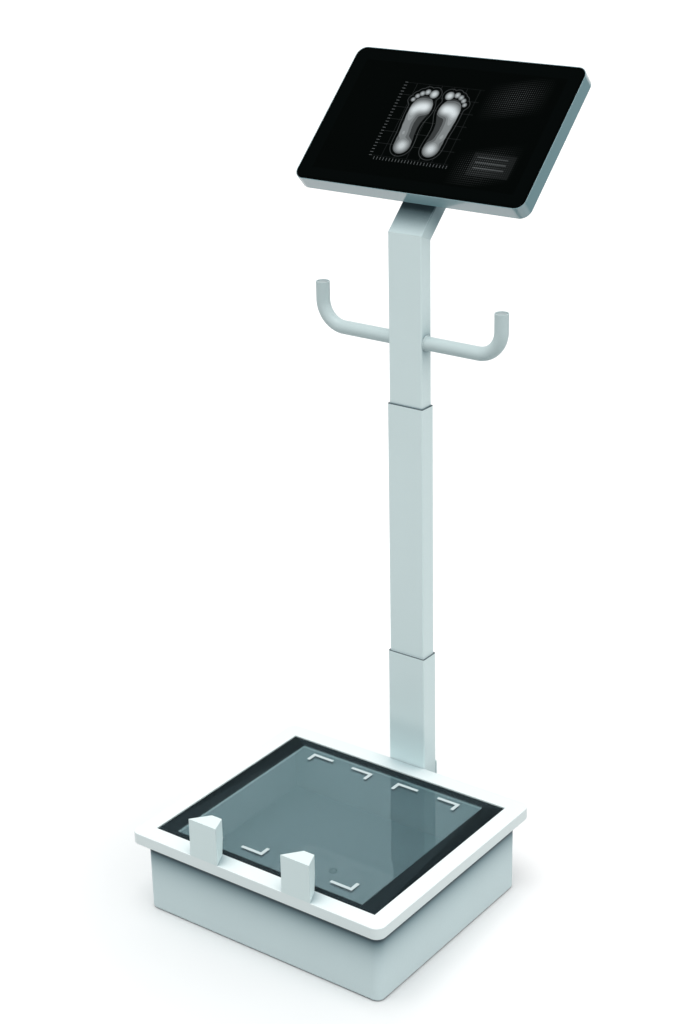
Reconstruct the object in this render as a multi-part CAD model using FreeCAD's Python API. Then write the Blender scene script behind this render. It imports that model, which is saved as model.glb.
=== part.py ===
"""Foot measuring device: scanner base, heel stops, telescopic mast, grips and tilted display.

Frame: millimetres, +Z up, origin on the floor under the centre of the foot plate.
The user stands on the glass facing +Y, with the heels against the two heel stops.
"""
import FreeCAD, Part
import math
import os

from FreeCAD import Vector


def grid(xs, ys):
    """All pairs of the given positions."""
    return [(x, y) for x in xs for y in ys]


# ---------------------------------------------------------------- driving dimensions
TOP_W, TOP_D, TOP_R = 550.0, 482.0, 18.0      # top frame outline and corner radius
TOP_Z = 166.0                                 # walking surface above the floor
FRAME_H, SKIRT_T = 21.5, 4.0                  # height and thickness of the top frame's skirt
HOUSING_INSET_X, HOUSING_INSET_Y = 17.0, 22.0  # housing walls set in from the frame's edge
HOUSING_R, SHEET = 16.0, 2.0
HOUSING_Z0, PLATE_Z0 = 4.0, 2.0               # undersides of the housing and of its bottom plate
FEET = [(0.0, 0.0)] + grid((-215.0, 215.0), (-180.0, 180.0))
GLASS_W, GLASS_D = 482.0, 412.0
WINDOW_W, WINDOW_D, WINDOW_Y = 410.0, 378.0, -2.0  # clear window in the black border, and its centre
UPPER_PANE_T, LOWER_PANE_T = 2.2, 5.8
BORDER_T, GASKET_T = 0.3, 1.0
LEDGE_W, LEDGE_D, LEDGE_T = 424.0, 392.0, 4.0
FIT = 0.3                                     # assembly gap round the glass

MARK_X0, MARK_X1 = 28.7, 167.3                # one foot's box, from its inner to its outer side
MARK_Y = 170.0                                # half the length of a foot's box
MARK_LONG, MARK_SHORT, MARK_LINE, MARK_T = 47.0, 24.0, 6.5, 0.3

STOP_X = 101.6                                # centre of each heel stop
STOP_FRONT, STOP_BACK = 60.8, 22.3            # width of a heel stop, front and back
STOP_HEAD_D, STOP_FOOT_D = 40.7, 33.2
STOP_TOP_FRONT, STOP_TOP_BACK, STOP_KINK = 240.5, 233.9, 197.0
STOP_WALL = 3.0

CHAMBER_W, CHAMBER_D = 484.0, 411.0
FLOOR_Z, FLOOR_T = 53.4, 3.0                  # top and thickness of the glossy inner floor
FLOOR_POSTS = grid((-205.0, 0.0, 205.0), (-170.0, 170.0))
LENS_R = 9.0
CAMERA_BOARD_Z, CAMERA_POST = 28.4, 18.0      # underside of the camera's board, its posts' offset
BOARD_X, BOARD_Y, BOARD_Z = -110.0, 90.0, 12.0
POST_ACROSS = 6.0                             # hexagonal posts, across the flats

INLET_X, SWITCH_X, INLET_Z = -188.0, -146.0, 32.0
ROCKER_TILT, PIVOT_R = 9.0, 1.5               # rocker's lean when off, degrees

MAST_Y = TOP_D / 2 + 20.0                     # centre line of the mast
TUBES = {"lower": (80.0, 40.0), "mid": (75.0, 35.0), "upper": (70.0, 30.0)}
TUBE_T, TUBE_R = 1.5, 3.0
LOWER_TOP, MID_TOP = 396.0, 886.0
MID_BOTTOM, UPPER_BOTTOM = 286.0, 766.0
LINER_H, LINER_RIM = 22.0, 0.8                # liner's height and its rim on the tube's end
SLIDE = 0.2                                   # play of a stage in its liner, both sides together
LOCK_DROP = 44.0                              # lock blocks below the mouth of their tube
LOCK_R, LOCK_LEN = 3.0, 11.5
BOLT_R, BOLT_Z = 4.0, (42.0, 118.0)
CABLE_R, CABLE_Z = 9.0, 80.0                  # cable way from the base into the mast
PLATE_T, BACKING_T = 3.4, 3.0
NUT_ACROSS, NUT_H, BOLT_TIP = 13.0, 6.5, 1.5  # nut size and the bolt's length beyond it

TILT = 46.7                                   # lean of the head from the vertical, degrees
BEND_Z = 1197.9                               # height of the bend line on the mast's front face
ARM_LEN = 262.0
DISPLAY_W, DISPLAY_H, DISPLAY_T, DISPLAY_R = 470.0, 288.2, 30.5, 19.0
DISPLAY_LOW = 47.0                            # lower display edge, measured up the head from the bend
DISPLAY_WALL = 3.0
MOUNT_GAP = 23.9                              # head's front face to the display's back
FRONT_GLASS_T = 2.5
BRACKET_T = 3.0

GRIP_Z, GRIP_TOP, GRIP_X = 1004.7, 1083.6, 188.0
GRIP_R, GRIP_BEND, GRIP_WALL = 12.5, 46.0, 1.5

# ---------------------------------------------------------------- derived dimensions
HOUSING_W = TOP_W - 2 * HOUSING_INSET_X
HOUSING_D = TOP_D - 2 * HOUSING_INSET_Y
FRAME_Z0 = TOP_Z - FRAME_H
BORDER_Z1 = TOP_Z - UPPER_PANE_T
BORDER_Z0 = BORDER_Z1 - BORDER_T
LOWER_PANE_Z0 = BORDER_Z0 - LOWER_PANE_T
POCKET_Z = LOWER_PANE_Z0 - GASKET_T
LEDGE_Z0 = POCKET_Z - LEDGE_T
WEB_Z = TOP_Z - 4.0                           # underside of the frame's top web
FLANGE_Z = WEB_Z - 6.0                        # top of the housing's upper flange
REAR_Y = HOUSING_D / 2                        # outside of the housing's rear wall
MAST_FRONT_Y = TOP_D / 2
MAST_BACK_Y = MAST_Y + TUBES["lower"][1] / 2
BEND_Y = MAST_Y - TUBES["upper"][1] / 2
DISPLAY_MID = DISPLAY_LOW + DISPLAY_H / 2
DISPLAY_BACK = -MOUNT_GAP                     # in the head's own frame, see to_head()
DISPLAY_FRONT = DISPLAY_BACK - DISPLAY_T
PANEL_BACK = DISPLAY_FRONT + 11.0
BUTTON_X, BUTTON_Z, BUTTON_R = 205.0, DISPLAY_LOW + 40.0, 4.0

X_AXIS, Y_AXIS, Z_AXIS = Vector(1, 0, 0), Vector(0, 1, 0), Vector(0, 0, 1)


# ---------------------------------------------------------------- helpers
def box(x0, y0, z0, x1, y1, z1):
    """A box between two corners."""
    return Part.makeBox(x1 - x0, y1 - y0, z1 - z0, Vector(x0, y0, z0))


def outline(width, depth, radius, x=0.0, y=0.0, z=0.0):
    """A rectangle as a wire at height z, with round corners where radius isn't 0."""
    half_w, half_d = width / 2, depth / 2
    if radius <= 0:
        corners = [(-half_w, -half_d), (half_w, -half_d), (half_w, half_d), (-half_w, half_d)]
        return Part.makePolygon([Vector(x + cx, y + cy, z) for cx, cy in corners + corners[:1]])
    in_w, in_d = half_w - radius, half_d - radius
    centres = [(in_w, in_d, 0), (-in_w, in_d, 90), (-in_w, -in_d, 180), (in_w, -in_d, 270)]
    arcs = [Part.makeCircle(radius, Vector(x + cx, y + cy, z), Z_AXIS, start, start + 90)
            for cx, cy, start in centres]
    edges = []
    for arc, following in zip(arcs, arcs[1:] + arcs[:1]):
        edges += [arc, Part.makeLine(arc.Vertexes[-1].Point, following.Vertexes[0].Point)]
    return Part.Wire(edges)


def slab(width, depth, radius, z0, z1, x=0.0, y=0.0):
    """A level plate centred on x, y."""
    return Part.Face(outline(width, depth, radius, x, y, z0)).extrude(Vector(0, 0, z1 - z0))


def ring(outer, inner, z0, z1, x=0.0, y=0.0):
    """A slab (width, depth, radius) with a slab-shaped hole right through."""
    return slab(*outer, z0, z1, x, y).cut(slab(*inner, z0 - 1, z1 + 1, x, y))


def standing(shape, x=0.0, y=0.0, z=0.0):
    """Tips a level shape up, so that what was height runs along +Y, and moves it."""
    shape = shape.copy()
    shape.rotate(Vector(0, 0, 0), X_AXIS, -90)
    shape.translate(Vector(x, y, z))
    return shape


def rod(radius, start, direction, length):
    """A cylinder from start along direction."""
    return Part.makeCylinder(radius, length, Vector(*start), direction)


def tube(outer_r, inner_r, start, direction, length):
    """A hollow cylinder."""
    return rod(outer_r, start, direction, length).cut(rod(inner_r, start, direction, length))


def hex_bar(across, z0, z1, x=0.0, y=0.0):
    """An upright hexagonal bar, sized across its flats."""
    radius = across / math.sqrt(3)
    angles = [math.radians(60 * i) for i in range(7)]
    corners = [Vector(x + radius * math.cos(a), y + radius * math.sin(a), z0) for a in angles]
    return Part.Face(Part.makePolygon(corners)).extrude(Vector(0, 0, z1 - z0))


def revolved(profile, x=0.0, y=0.0):
    """Turns a closed (radius, z) profile round the vertical through x, y."""
    wire = Part.makePolygon([Vector(x + r, y, z) for r, z in profile + profile[:1]])
    return Part.Face(wire).revolve(Vector(x, y, 0), Z_AXIS, 360)


def join(shapes):
    """Fuses solids that touch and drops the seams between coplanar faces."""
    return shapes[0].multiFuse(shapes[1:]).removeSplitter()


def drill(shape, tools):
    """Cuts every tool out of a shape."""
    for tool in tools:
        shape = shape.cut(tool)
    return shape


def group(solids):
    """Several separate solids as one node."""
    return Part.makeCompound(solids)


def mirrored(shape):
    """The shape's mirror image on the other side of the YZ plane."""
    return shape.mirror(Vector(0, 0, 0), X_AXIS)


def moved(shape, x=0.0, y=0.0, z=0.0):
    """A copy of a shape, shifted."""
    shape = shape.copy()
    shape.translate(Vector(x, y, z))
    return shape


def level_edges(shape, axis, position):
    """The edges of a shape that lie in one plane across axis ("X", "Y" or "Z")."""
    return [e for e in shape.Edges
            if getattr(e.BoundBox, axis + "Length") < 1e-6
            and abs(getattr(e.BoundBox, axis + "Min") - position) < 1e-6]


def to_head(shape):
    """Moves a shape from the head's own frame to the bend.

    In that frame the head stands upright on the bend line, with its front face on y = 0.
    """
    placed = shape.copy()
    placed.rotate(Vector(0, 0, 0), X_AXIS, -TILT)
    placed.translate(Vector(0, BEND_Y, BEND_Z))
    return placed


# ---------------------------------------------------------------- top frame and heel stops
def top_frame():
    """Moulded frame: skirt, top web, glass pocket on a ledge, seat on the housing and ribs."""
    body = slab(TOP_W, TOP_D, TOP_R, FRAME_Z0, TOP_Z)
    body = body.makeFillet(1.0, level_edges(body, "Z", TOP_Z))
    pocket_wall = 3.5
    pocket_w, pocket_d = GLASS_W + 2 * FIT, GLASS_D + 2 * FIT
    pocket_outer = (pocket_w + 2 * pocket_wall, pocket_d + 2 * pocket_wall, 0)
    inside_skirt = (TOP_W - 2 * SKIRT_T, TOP_D - 2 * SKIRT_T, TOP_R - SKIRT_T)
    body = drill(body, [
        slab(pocket_w, pocket_d, 0, POCKET_Z, TOP_Z + 1),
        slab(LEDGE_W, LEDGE_D, 0, FRAME_Z0 - 1, TOP_Z),
        ring(inside_skirt, pocket_outer, FRAME_Z0 - 1, WEB_Z),
        slab(*pocket_outer, FRAME_Z0 - 1, LEDGE_Z0),
    ])
    seat = ring((HOUSING_W - 6, HOUSING_D - 6, HOUSING_R - 3), (HOUSING_W - 12, HOUSING_D - 12, 10),
                FLANGE_Z, WEB_Z)
    under_stops = [slab(STOP_FRONT, 1.5, 0, TOP_Z - 1.5, TOP_Z, x, 0.75 - TOP_D / 2)
                   for x in (-STOP_X, STOP_X)]
    return join([body, seat] + under_stops + locating_ribs())


def locating_ribs():
    """Ribs inside the skirt that centre the frame on the housing."""
    gap, thickness = 0.4, 2.0
    reach_x, reach_y = HOUSING_INSET_X - SKIRT_T - gap, HOUSING_INSET_Y - SKIRT_T - gap
    mid_x, mid_y = HOUSING_W / 2 + gap + reach_x / 2, HOUSING_D / 2 + gap + reach_y / 2
    across = [slab(thickness, reach_y, 0, FRAME_Z0 + 2, WEB_Z, x, y)
              for x, y in grid((-200, -50, 50, 200), (-mid_y, mid_y))]
    along = [slab(reach_x, thickness, 0, FRAME_Z0 + 2, WEB_Z, x, y)
             for x, y in grid((-mid_x, mid_x), (-150, -50, 50, 150))]
    return across + along


def stop_form(inset, z_top):
    """A heel stop's outer form (inset 0) or its hollow core: a flared prism with an undercut foot."""
    front, back = STOP_FRONT / 2 - 1.2 * inset, STOP_BACK / 2 - 0.8 * inset
    y0, y_head, y_foot = inset, STOP_HEAD_D - inset, STOP_FOOT_D - inset
    plan = [(-front, y0), (front, y0), (back, y_head), (-back, y_head), (-front, y0)]
    wire = Part.makePolygon([Vector(x, y, TOP_Z) for x, y in plan])
    undercut = [(y_foot, TOP_Z), (y_head, STOP_KINK), (y_head, TOP_Z), (y_foot, TOP_Z)]
    wedge = Part.makePolygon([Vector(-front, y, z) for y, z in undercut])
    prism = Part.Face(wire).extrude(Vector(0, 0, z_top - TOP_Z))
    return prism.cut(Part.Face(wedge).extrude(Vector(2 * front, 0, 0)))


def heel_stop(x):
    """Hollow moulded heel stop with a top that falls towards the glass."""
    fall = (STOP_TOP_FRONT - STOP_TOP_BACK) / STOP_HEAD_D
    reach = 100.0
    wedge = [(0, STOP_TOP_FRONT), (reach, STOP_TOP_FRONT - fall * reach), (reach, 300), (0, 300),
             (0, STOP_TOP_FRONT)]
    wire = Part.makePolygon([Vector(-reach / 2, y, z) for y, z in wedge])
    body = stop_form(0.0, STOP_TOP_FRONT).cut(Part.Face(wire).extrude(Vector(reach, 0, 0)))
    return moved(body.cut(stop_form(STOP_WALL, STOP_TOP_BACK - 5)), x, -TOP_D / 2)


# ---------------------------------------------------------------- housing
def base_housing():
    """Folded sheet housing: four walls, an upper and a lower flange, and the rear cut-outs."""
    outer = (HOUSING_W, HOUSING_D, HOUSING_R)
    inner = (HOUSING_W - 2 * SHEET, HOUSING_D - 2 * SHEET, HOUSING_R - SHEET)
    walls = ring(outer, inner, HOUSING_Z0, FLANGE_Z)
    flange_hole = (HOUSING_W - 24, HOUSING_D - 16, 0)
    upper = ring(inner, flange_hole, FLANGE_Z - SHEET, FLANGE_Z)
    lower = ring(inner, flange_hole, HOUSING_Z0, HOUSING_Z0 + SHEET)
    y0, y1 = REAR_Y - 2 * SHEET, REAR_Y + 1
    holes = [rod(BOLT_R + 0.2, (0, y0, z), Y_AXIS, y1 - y0) for z in BOLT_Z]
    holes += [rod(CABLE_R, (0, y0, CABLE_Z), Y_AXIS, y1 - y0)]
    holes += [box(INLET_X - 13.7, y0, INLET_Z - 10, INLET_X + 13.7, y1, INLET_Z + 10),
              box(SWITCH_X - 9.6, y0, INLET_Z - 6.5, SWITCH_X + 9.6, y1, INLET_Z + 6.5)]
    holes += [box(x, y0, INLET_Z - 15, x + 3, y1, INLET_Z + 15) for x in range(120, 210, 9)]
    return drill(join([walls, upper, lower]), holes)


def bottom_plate():
    """Sheet floor with two rows of vent slots."""
    plate = slab(HOUSING_W - 3, HOUSING_D - 3, HOUSING_R - 1.5, PLATE_Z0, HOUSING_Z0)
    slots = [slab(4, 44, 0, PLATE_Z0 - 1, HOUSING_Z0 + 1, x, y)
             for x, y in grid(range(-36, 37, 12), (-110, 110))]
    return drill(plate, slots)


def rubber_feet():
    """Square pads stuck under the bottom plate, near the corners and in the middle."""
    return group([slab(38, 38, 0, 0, PLATE_Z0, x, y) for x, y in FEET])


# ---------------------------------------------------------------- foot plate
def foot_marks():
    """Eight printed corner marks, four round each foot's place."""
    corner = join([slab(MARK_LONG, MARK_LINE, 0, TOP_Z, TOP_Z + MARK_T, MARK_LONG / 2, MARK_LINE / 2),
                   slab(MARK_LINE, MARK_SHORT, 0, TOP_Z, TOP_Z + MARK_T, MARK_LINE / 2, MARK_SHORT / 2)])
    inner_front = moved(corner, MARK_X0, -MARK_Y)
    outer_front = moved(mirrored(corner), MARK_X1, -MARK_Y)
    front = [inner_front, outer_front, mirrored(inner_front), mirrored(outer_front)]
    return group(front + [mark.mirror(Vector(0, 0, 0), Y_AXIS) for mark in front])


def glass_stack():
    """Laminated foot plate: two panes, the black border between them and the seal below."""
    pane = (GLASS_W, GLASS_D, 0)
    sheet = slab(*pane, BORDER_Z0, BORDER_Z1)
    window = slab(WINDOW_W, WINDOW_D, 0, BORDER_Z0 - 1, BORDER_Z1 + 1, 0, WINDOW_Y)
    return {
        "glass_upper_pane": slab(*pane, BORDER_Z1, TOP_Z),
        "glass_border": sheet.cut(window),
        "glass_lower_pane": slab(*pane, LOWER_PANE_Z0, BORDER_Z0),
        "glass_gasket": ring(pane, (LEDGE_W + 4, LEDGE_D + 4, 0), POCKET_Z, LOWER_PANE_Z0),
    }


# ---------------------------------------------------------------- inside the base
def chamber():
    """Light box under the glass: liner, glossy floor with the camera's hole, and the lamps."""
    liner = ring((CHAMBER_W, CHAMBER_D, 0), (CHAMBER_W - 4, CHAMBER_D - 4, 0), FLOOR_Z, LEDGE_Z0)
    floor = slab(CHAMBER_W, CHAMBER_D, 0, FLOOR_Z - FLOOR_T, FLOOR_Z)
    floor = floor.cut(rod(LENS_R + 0.2, (0, 0, FLOOR_Z - 5), Z_AXIS, 10))
    lamps = [lamp(y0, 150.0) for y0 in (-186.0, 36.0)]
    bars = [bar for bar, cover in lamps]
    covers = [cover for bar, cover in lamps]
    return {
        "chamber_liner": liner,
        "chamber_floor": floor,
        "lamp_bars": group(bars + [mirrored(bar) for bar in bars]),
        "lamp_covers": group(covers + [mirrored(cover) for cover in covers]),
    }


def lamp(y0, length):
    """One light channel on the liner's right wall, and its clip-in cover, under the ledge."""
    x_wall, z_top, depth, height, wall = CHAMBER_W / 2 - 2, LEDGE_Z0 - 1.0, 12.0, 10.0, 1.5
    profile = [(0, 0), (0, -height), (-depth, -height), (-depth, wall - height), (-wall, wall - height),
               (-wall, -wall), (-depth, -wall), (-depth, 0), (0, 0)]
    wire = Part.makePolygon([Vector(x_wall + x, y0, z_top + z) for x, z in profile])
    bar = Part.Face(wire).extrude(Vector(0, length, 0))
    x_lip = x_wall - depth
    cover = box(x_lip, y0, z_top + wall - height, x_lip + 2.5, y0 + length, z_top - wall)
    return bar, cover


def camera():
    """Upward-looking camera in the middle of the chamber floor, on its board."""
    board_top = CAMERA_BOARD_Z + 1.6
    barrel = revolved([(0, board_top), (LENS_R, board_top), (LENS_R, FLOOR_Z + 1), (7.2, FLOOR_Z + 1),
                       (6.0, FLOOR_Z - 2), (0, FLOOR_Z - 2)])
    lens = moved(Part.makeCone(6.0, 4.6, 2.6), 0, 0, FLOOR_Z - 2)
    board = slab(44, 44, 0, CAMERA_BOARD_Z, board_top)
    return {"camera_barrel": barrel, "camera_lens": lens, "camera_board": board}


def electronics():
    """Main board with its heat sink and sockets, and the cased power supply."""
    board_top = BOARD_Z + 1.6
    board = slab(170, 120, 0, BOARD_Z, board_top, BOARD_X, BOARD_Y)
    sockets = [slab(16, 22, 0, board_top, board_top + 13, BOARD_X + x, BOARD_Y + 46) for x in (38, 60)]
    plinth = slab(50, 50, 0, board_top, board_top + 3.4, BOARD_X, BOARD_Y)
    fins = [slab(1.5, 48, 0, board_top + 3, board_top + 20, BOARD_X + x, BOARD_Y)
            for x in range(-24, 25, 6)]
    supply = slab(140, 72, 0, HOUSING_Z0, 38, 110, -120)
    vents = [box(x, -90, 12, x + 4, -80, 30) for x in range(60, 160, 12)]
    return {"main_board": group([board] + sockets), "heat_sink": join([plinth] + fins),
            "power_supply": drill(supply, vents)}


def inner_posts():
    """Hexagonal posts under the chamber floor, the camera's board and the main board."""
    camera_posts = grid((-CAMERA_POST, CAMERA_POST), (-CAMERA_POST, CAMERA_POST))
    board_posts = grid((BOARD_X - 78, BOARD_X + 78), (BOARD_Y - 53, BOARD_Y + 53))
    places = [(FLOOR_POSTS, FLOOR_Z - FLOOR_T), (camera_posts, CAMERA_BOARD_Z), (board_posts, BOARD_Z)]
    return group([hex_bar(POST_ACROSS, HOUSING_Z0, top, x, y)
                  for posts, top in places
                  for x, y in posts])


def power_inlet():
    """Three-pole appliance inlet, snapped into the rear wall."""
    flange = box(-15.5, 0, -12, 15.5, 2.5, 12)
    body = box(-13.5, -22, -9.8, 13.5, 0, 9.8)
    socket = join([flange, body]).cut(box(-12, -15, -8, 12, 3, 8))
    pins = group([box(x - 1, -15, z - 1.5, x + 1, -1, z + 1.5) for x, z in ((-7, -3), (0, 1), (7, -3))])
    place = (INLET_X, REAR_Y, INLET_Z)
    return {"inlet_socket": moved(socket, *place), "inlet_pins": moved(pins, *place)}


def power_switch():
    """Rocker switch: a snapped-in frame and a rocker on two stub pivots along X."""
    pivot_y = -3.0
    frame = join([box(-11.5, 0, -8.5, 11.5, 2, 8.5), box(-9.5, -16, -6.4, 9.5, 0, 6.4)])
    frame = frame.cut(box(-8, -13, -5.2, 8, 3, 5.2))
    frame = frame.cut(rod(PIVOT_R + 0.05, (-9, pivot_y, 0), X_AXIS, 18))
    profile = [(-3, -4.2), (5.2, -4), (2.6, 0), (5.2, 4), (-3, 4.2), (-3, -4.2)]
    wire = Part.makePolygon([Vector(-7.7, y, z) for y, z in profile])
    rocker = Part.Face(wire).extrude(Vector(15.4, 0, 0))
    rocker = rocker.fuse(rod(PIVOT_R, (-8.7, 0, 0), X_AXIS, 17.4))
    rocker.rotate(Vector(0, 0, 0), X_AXIS, -ROCKER_TILT)
    rocker = moved(rocker, 0, pivot_y)
    place = (SWITCH_X, REAR_Y, INLET_Z)
    return {"switch_frame": moved(frame, *place), "switch_rocker": moved(rocker, *place)}


# ---------------------------------------------------------------- telescopic mast
def inner_size(name, less=0.0):
    """A mast tube's clear width and depth, with sharp inner corners."""
    width, depth = TUBES[name]
    return width - 2 * TUBE_T - less, depth - 2 * TUBE_T - less, 0


def stage(name, z0, z1):
    """One rectangular mast tube with round outer corners, open at both ends."""
    return ring((*TUBES[name], TUBE_R), inner_size(name), z0, z1, 0, MAST_Y)


def guide_liner(outer_stage, inner_stage, top):
    """Plastic liner that the next stage slides through, with a rim on the end of its tube."""
    width, depth = TUBES[inner_stage]
    bore = (width + SLIDE, depth + SLIDE, 0)
    sleeve = slab(*inner_size(outer_stage), top - LINER_H, top, 0, MAST_Y)
    rim = slab(*TUBES[outer_stage], TUBE_R, top - LINER_RIM, top, 0, MAST_Y)
    return join([sleeve, rim]).cut(slab(*bore, top - LINER_H - 1, top + 1, 0, MAST_Y))


def end_glide(name, outer_stage, z0):
    """Glide plug in a tube's foot, with a skirt that runs inside the stage below."""
    skirt = slab(*inner_size(outer_stage, SLIDE), z0 - 6, z0, 0, MAST_Y)
    plug = slab(*inner_size(name), z0, z0 + 14, 0, MAST_Y)
    bore = slab(*inner_size(name, 8), z0 - 7, z0 + 15, 0, MAST_Y)
    return join([skirt, plug]).cut(bore)


def lock(name, z):
    """Tapped block on a tube's back and the set screw that clamps the next stage."""
    y = MAST_Y + TUBES[name][1] / 2
    block = box(-17, y, z - 9, 17, y + 10, z + 9)
    block = block.cut(rod(LOCK_R + 0.05, (0, y - 1, z), Y_AXIS, 12))
    screw = rod(LOCK_R, (0, y - TUBE_T - 0.7, z), Y_AXIS, LOCK_LEN)
    clearance = rod(LOCK_R + 0.3, (0, y - 2 * TUBE_T, z), Y_AXIS, 4)
    return block, screw, clearance


def mast_bolt(z, y_head, y_nut):
    """One through bolt and its nut, drawn up from the mast's back to inside the housing."""
    y_tip = y_nut - NUT_H - BOLT_TIP
    head = standing(hex_bar(NUT_ACROSS, 0, 5.3), 0, y_head, z)
    shank = rod(BOLT_R, (0, y_tip, z), Y_AXIS, y_head - y_tip)
    nut = hex_bar(NUT_ACROSS, -NUT_H, 0).cut(rod(BOLT_R + 0.05, (0, 0, -10), Z_AXIS, 11))
    return [head.fuse(shank), standing(nut, 0, y_nut, z)]


def lower_mast():
    """Fixed stage with its foot, liner and lock, and the parts that bolt it to the base."""
    lock_z = LOWER_TOP - LOCK_DROP
    block, screw, lock_hole = lock("lower", lock_z)
    y_back, y_nut = MAST_BACK_Y + PLATE_T, REAR_Y - SHEET - BACKING_T
    bolt_holes = [rod(BOLT_R + 0.2, (0, y_nut - 5, z), Y_AXIS, 90) for z in BOLT_Z]
    cable_y0, cable_y1 = REAR_Y - 8, MAST_FRONT_Y + 4
    cable_hole = rod(CABLE_R, (0, cable_y0, CABLE_Z), Y_AXIS, cable_y1 - cable_y0)
    spacers = [box(-40, REAR_Y, z - 22, 40, MAST_FRONT_Y, z + 22) for z in BOLT_Z]
    backing = [box(-38, y_nut, z - 20, 38, REAR_Y - SHEET, z + 20) for z in BOLT_Z]
    back_plate = standing(slab(80, 153, 4, 0, PLATE_T), 0, MAST_BACK_Y, 12 + 153 / 2)
    sleeves = [tube(7.5, BOLT_R + 0.2, (0, MAST_FRONT_Y + TUBE_T, z), Y_AXIS, inner_size("lower")[1])
               for z in BOLT_Z]
    bolts = [solid for z in BOLT_Z for solid in mast_bolt(z, y_back, y_nut)]
    foot_plug = ring(inner_size("lower"), inner_size("lower", 8), 8, 22, 0, MAST_Y)
    mast_tube = stage("lower", 8, LOWER_TOP - LINER_RIM)
    return {
        "lower_stage": drill(mast_tube, bolt_holes + [cable_hole, lock_hole]),
        "mast_foot": join([slab(*TUBES["lower"], TUBE_R, 0, 8, 0, MAST_Y), foot_plug]),
        "mast_spacers": group([drill(spacer, bolt_holes) for spacer in spacers]),
        "mast_backing_plates": group([drill(plate, bolt_holes) for plate in backing]),
        "mast_back_plate": drill(back_plate, bolt_holes),
        "mast_sleeves": group(sleeves),
        "mast_bolts": group(bolts),
        "cable_grommet": tube(CABLE_R, CABLE_R - 3, (0, cable_y0, CABLE_Z), Y_AXIS, cable_y1 - cable_y0),
        "lower_liner": guide_liner("lower", "mid", LOWER_TOP),
        "lower_lock_block": block,
        "lower_lock_screw": screw,
    }


def mid_mast():
    """Sliding middle stage with its glide, liner and lock."""
    block, screw, lock_hole = lock("mid", MID_TOP - LOCK_DROP)
    return {
        "mid_stage": stage("mid", MID_BOTTOM, MID_TOP - LINER_RIM).cut(lock_hole),
        "mid_glide": end_glide("mid", "lower", MID_BOTTOM),
        "mid_liner": guide_liner("mid", "upper", MID_TOP),
        "mid_lock_block": block,
        "mid_lock_screw": screw,
    }


def mitre_side(above):
    """Half space above or below the bend's mitre plane."""
    size = 600.0
    half = slab(size, size, 0, 0 if above else -size, size if above else 0)
    half.rotate(Vector(0, 0, 0), X_AXIS, -TILT / 2)
    return moved(half, 0, BEND_Y, BEND_Z)


def upper_mast():
    """Sliding upper stage, mitred to the leaning head arm, with its glide and end cap."""
    width, depth = TUBES["upper"]
    arm = ring((width, depth, TUBE_R), inner_size("upper"), -60, ARM_LEN, 0, depth / 2)
    arm = arm.cut(rod(CABLE_R, (0, -1, DISPLAY_MID), Y_AXIS, 5))
    cap_lid = slab(width, depth, TUBE_R, ARM_LEN, ARM_LEN + 3, 0, depth / 2)
    cap_plug = ring(inner_size("upper"), inner_size("upper", 4), ARM_LEN - 10, ARM_LEN, 0, depth / 2)
    return {
        "upper_stage": stage("upper", UPPER_BOTTOM, BEND_Z + 40).cut(mitre_side(True)),
        "head_arm": to_head(arm).cut(mitre_side(False)),
        "arm_end_cap": to_head(join([cap_lid, cap_plug])),
        "upper_glide": end_glide("upper", "mid", UPPER_BOTTOM),
    }


def grips():
    """Bent bar grips welded to the sides of the upper stage, with plugged ends."""
    side, turn_x = TUBES["upper"][0] / 2, GRIP_X - GRIP_BEND
    upright_z = GRIP_Z + GRIP_BEND
    straight = rod(GRIP_R, (side, MAST_Y, GRIP_Z), X_AXIS, turn_x - side)
    disc = Part.Face(Part.Wire(Part.makeCircle(GRIP_R, Vector(turn_x, MAST_Y, GRIP_Z), X_AXIS)))
    bend = disc.revolve(Vector(turn_x, MAST_Y, upright_z), Y_AXIS * -1, 90)
    upright = rod(GRIP_R, (GRIP_X, MAST_Y, upright_z), Z_AXIS, GRIP_TOP - upright_z)
    mouth = rod(GRIP_R - GRIP_WALL, (GRIP_X, MAST_Y, GRIP_TOP - 9), Z_AXIS, 10)
    plug = rod(GRIP_R - GRIP_WALL, (GRIP_X, MAST_Y, GRIP_TOP - 9), Z_AXIS, 7.5)
    grip = straight.fuse(bend).fuse(upright).cut(mouth)
    return {"grip_right": grip, "grip_left": mirrored(grip), "grip_plugs": group([plug, mirrored(plug)])}


# ---------------------------------------------------------------- display
def display_slab(inset, radius, y0, y1):
    """A plate parallel to the display, set in from its outline, in the head's frame."""
    plate = slab(DISPLAY_W - 2 * inset, DISPLAY_H - 2 * inset, radius, 0, y1 - y0)
    return standing(plate, 0, y0, DISPLAY_MID)


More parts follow.
